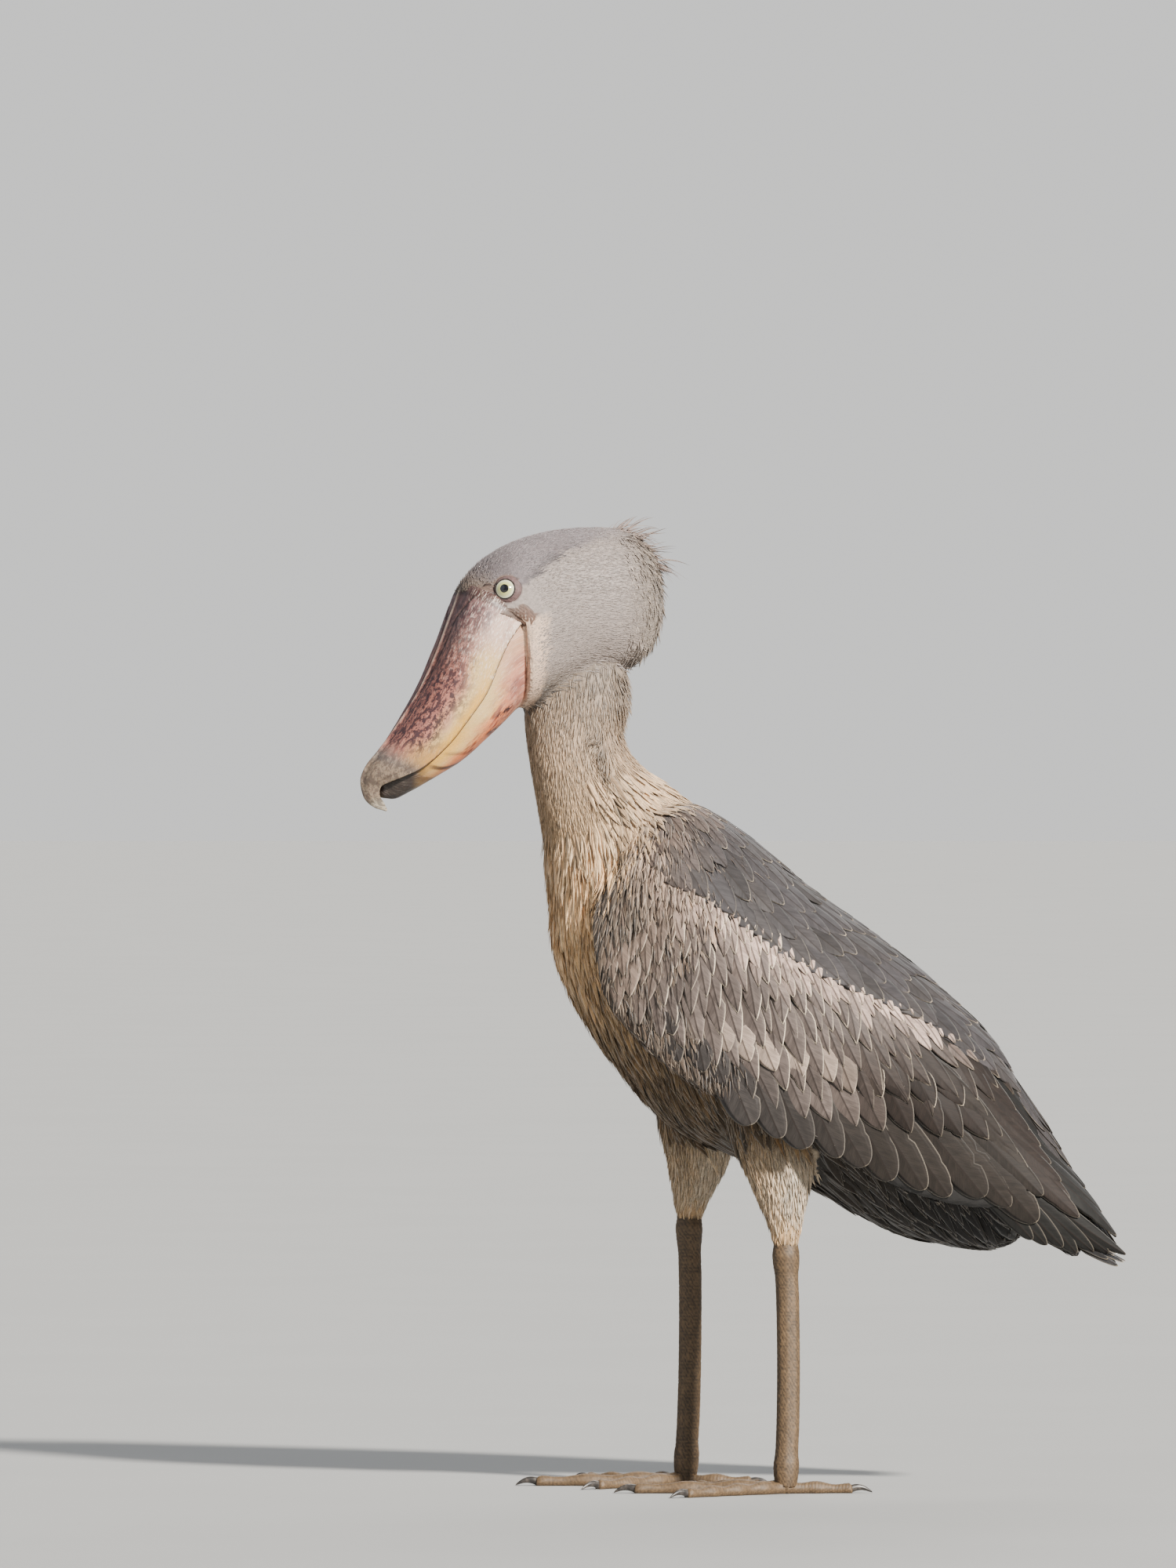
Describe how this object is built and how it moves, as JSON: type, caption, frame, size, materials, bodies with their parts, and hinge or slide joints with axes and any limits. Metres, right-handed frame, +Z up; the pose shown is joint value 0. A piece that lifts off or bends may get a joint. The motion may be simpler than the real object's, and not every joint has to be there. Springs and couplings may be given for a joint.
{
  "type": "shoebill",
  "caption": "Life-size still model of a shoebill standing at rest, neck drawn down and huge hooked bill held low.",
  "frame": {"origin": "on the floor, under the middle of the bird's bounding box", "axes": "+Z up, +X towards the tail so that the bird faces -X, +Y towards the bird's right side"},
  "size_m": [0.761, 0.3142, 0.9624],
  "materials": {
    "head_plumage": "velvety pale grey down",
    "neck_plumage": "soft pale grey feathers",
    "body_plumage": "long brown-grey plumes",
    "wing_plumage": "slate grey feathers with pale edges",
    "flight_feathers": "dark slate quills",
    "thigh_plumage": "streaked brown-grey feathers",
    "bill_horn": "mottled pink and cream horn, satin",
    "eye": "wet gloss, pale yellow iris",
    "leg_skin": "finely scaled dry skin",
    "claw_horn": "dark worn horn"
  },
  "bodies": {
    "root": {"head": "head_plumage", "neck": "neck_plumage", "torso": "body_plumage", "tail": "flight_feathers", "wing_left": "wing_plumage", "wing_right": "wing_plumage", "bill_upper": "bill_horn", "bill_lower": "bill_horn", "eye_left": "eye", "eye_right": "eye", "thigh_left": "thigh_plumage", "thigh_right": "thigh_plumage", "shank_left": "leg_skin", "shank_right": "leg_skin", "toe_left_middle": "leg_skin", "toe_left_inner": "leg_skin", "toe_left_outer": "leg_skin", "toe_left_hind": "leg_skin", "toe_right_middle": "leg_skin", "toe_right_inner": "leg_skin", "toe_right_outer": "leg_skin", "toe_right_hind": "leg_skin", "claw_left_middle": "claw_horn", "claw_left_inner": "claw_horn", "claw_left_outer": "claw_horn", "claw_left_hind": "claw_horn", "claw_right_middle": "claw_horn", "claw_right_inner": "claw_horn", "claw_right_outer": "claw_horn", "claw_right_hind": "claw_horn"}
  },
  "joints": []
}
